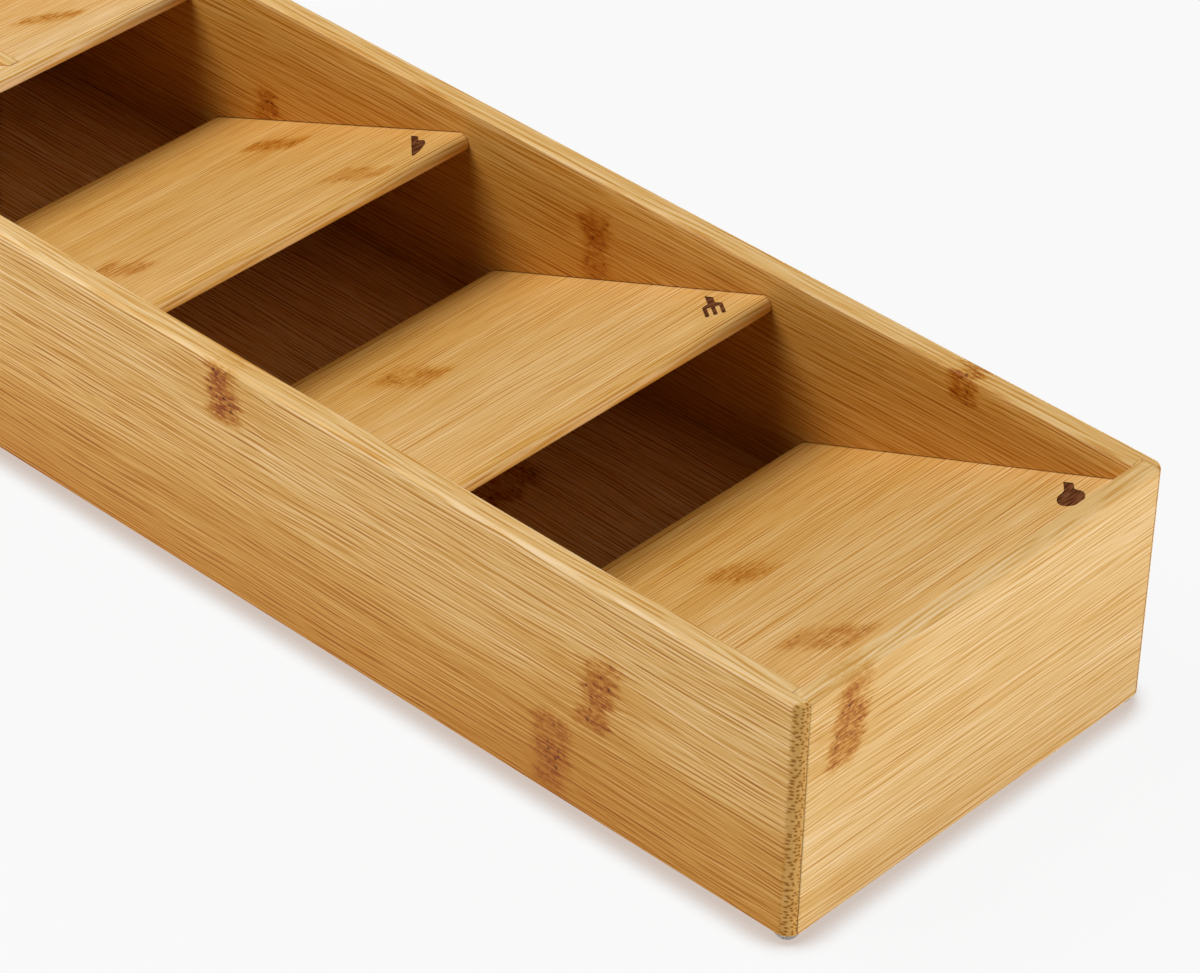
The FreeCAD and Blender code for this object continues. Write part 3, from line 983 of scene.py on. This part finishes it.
low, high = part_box("fork_ramp")
round_r = RAMP_THICKNESS / 2
rise = high.z - low.z - RAMP_THICKNESS
run = high.x - low.x - RAMP_THICKNESS
slope = math.atan2(rise, run)
up_slope = Vector((math.cos(slope), 0, math.sin(slope)))
off_slope = Vector((-math.sin(slope), 0, math.cos(slope)))
wall_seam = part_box("back_side_wall")[0].y / MM
print("ramp slope:", round(math.degrees(slope), 2), "degrees, seams at", round(wall_seam, 2), "mm")

# %% Build the ramps
# the first ramp's board is made too long, and the trim block cuts it at the end wall
ROUND_STEPS = 14
TRIM_REACH = 0.3

for node, tones in RAMP_TONES_AND_SHADE.items():
    low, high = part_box(node)
    foot = Vector((low.x + round_r, 0, low.z + round_r))
    top = high.x - round_r if node != "spoon_ramp" else high.x + 2 * RAMP_THICKNESS
    length = (top - foot.x) / math.cos(slope)
    finish = bamboo(
        "bamboo_" + node, Y_AXIS, up_slope, foot, tones, RAMP_JOINTS[node], RAMP_LINES, wall_seam,
    )
    cutter = None
    if node in SIGNS:
        across, along, turn = SIGN_PLACES[node]
        centre = foot + up_slope * along * MM + off_slope * round_r + Y_AXIS * across * MM
        first = Matrix.Rotation(math.radians(turn), 3, off_slope) @ (up_slope - Y_AXIS).normalized()
        second = off_slope.cross(first)
        cutter = sign_cutter(node + "_cutter", SIGNS[node], centre, first, second, off_slope)
        scene.collection.objects.link(cutter)
    ramp = run_tree(node + "_board", ramp_tree, {
        "Board Length": length + RAMP_THICKNESS,
        "Board Width": high.y - low.y,
        "Thickness": RAMP_THICKNESS,
        "Round Steps": ROUND_STEPS,
        "Slope": slope,
        "Middle": foot + up_slope * length / 2,
        "Trim Centre": (high.x + TRIM_REACH / 2, 0, 0),
        "Trim Size": (TRIM_REACH, TRIM_REACH, TRIM_REACH),
        "Finish": finish,
    }, cutter)
    settle_shading(ramp)
    if cutter is not None:
        bpy.data.objects.remove(cutter)
    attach(ramp, "root")
    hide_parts(node)
    print(ramp.name, len(ramp.data.polygons), "faces,", len(ramp.data.materials), "finishes")

# %% [markdown]
# The tray stands on four small clear bumpers, the kind that is peeled off a sheet and stuck on. Each is a
# slice of a ball: a Geometry Nodes tree takes a ball and keeps what lies inside a flat slab. The rubber is
# clear but a little hazy, so a fine noise varies its roughness.

# %% Bumper tree
BALL_SEGMENTS = 48
BALL_RINGS = 32

bumper_tree, given, result = new_group(
    "dome_bumper",
    "GeometryNodeTree",
    {
        "Ball Radius": "NodeSocketFloat",
        "Ball Centre": "NodeSocketVector",
        "Slab Size": "NodeSocketVector",
        "Slab Centre": "NodeSocketVector",
        "Finish": "NodeSocketMaterial",
    },
    {"Geometry": "NodeSocketGeometry"},
)
ball = wire(bumper_tree, "GeometryNodeMeshUVSphere", {
    "Segments": BALL_SEGMENTS, "Rings": BALL_RINGS, "Radius": given["Ball Radius"],
})
ball = wire(bumper_tree, "GeometryNodeTransform", {
    "Geometry": ball.outputs[0], "Translation": given["Ball Centre"],
})
slab = wire(bumper_tree, "GeometryNodeMeshCube", {"Size": given["Slab Size"]})
slab = wire(bumper_tree, "GeometryNodeTransform", {
    "Geometry": slab.outputs[0], "Translation": given["Slab Centre"],
})
slice_of_ball = wire(bumper_tree, "GeometryNodeMeshBoolean", {
    "Mesh 2": ball.outputs[0],
}, operation="INTERSECT", solver="EXACT")
bumper_tree.links.new(slab.outputs[0], slice_of_ball.inputs["Mesh 2"])
smooth = wire(bumper_tree, "GeometryNodeSetShadeSmooth", {"Geometry": slice_of_ball.outputs[0]})
real = wire(bumper_tree, "GeometryNodeRealizeInstances", {"Geometry": smooth.outputs[0]})
coated = wire(bumper_tree, "GeometryNodeSetMaterial", {
    "Geometry": real.outputs[0], "Material": given["Finish"],
})
bumper_tree.links.new(coated.outputs[0], result["Geometry"])
print("bumper tree nodes:", len(bumper_tree.nodes))

# %% Clear rubber
RUBBER_GREY = (0.58, 0.59, 0.60, 1.0)
RUBBER_CLEAR = 0.55
RUBBER_IOR = 1.49
HAZE_SCALE = 900.0
HAZE_DETAIL = 2.0
HAZE_ROUGH = (0.12, 0.30)

clear = bpy.data.materials.new("clear_bumper_rubber")
clear.use_nodes = True
tree = clear.node_tree
shader = tree.nodes["Principled BSDF"]
shader.inputs["Base Color"].default_value = RUBBER_GREY
shader.inputs["Transmission Weight"].default_value = RUBBER_CLEAR
shader.inputs["IOR"].default_value = RUBBER_IOR
place = wire(tree, "ShaderNodeTexCoord")
haze = wire(tree, "ShaderNodeTexNoise", {
    "Vector": place.outputs["Object"], "Scale": HAZE_SCALE, "Detail": HAZE_DETAIL,
})
dull = wire(tree, "ShaderNodeMapRange", {
    "Value": haze.outputs["Fac"], "To Min": HAZE_ROUGH[0], "To Max": HAZE_ROUGH[1],
})
tree.links.new(dull.outputs[0], shader.inputs["Roughness"])
print("clear rubber nodes:", len(tree.nodes))

# %% Build the bumpers
# the flat that meets the table is 3.4 mm across on a foot of 5.8 mm
FLAT_SHARE = 3.4 / 5.8

for node in ("front_left_foot", "front_right_foot", "back_left_foot", "back_right_foot"):
    low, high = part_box(node)
    wide = (high.x - low.x) / 2
    tall = high.z - low.z
    flat = wide * FLAT_SHARE
    ball_z = (wide ** 2 - flat ** 2 + tall ** 2) / (2 * tall)
    centre = (low + high) / 2
    bumper = run_tree(node + "_bumper", bumper_tree, {
        "Ball Radius": math.hypot(flat, ball_z),
        "Ball Centre": (centre.x, centre.y, low.z + ball_z),
        "Slab Size": (4 * wide, 4 * wide, tall),
        "Slab Centre": centre,
        "Finish": clear,
    })
    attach(bumper, "root")
    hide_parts(node)
    print(bumper.name, len(bumper.data.polygons), "faces")

# %% Last update
bpy.context.view_layer.update()
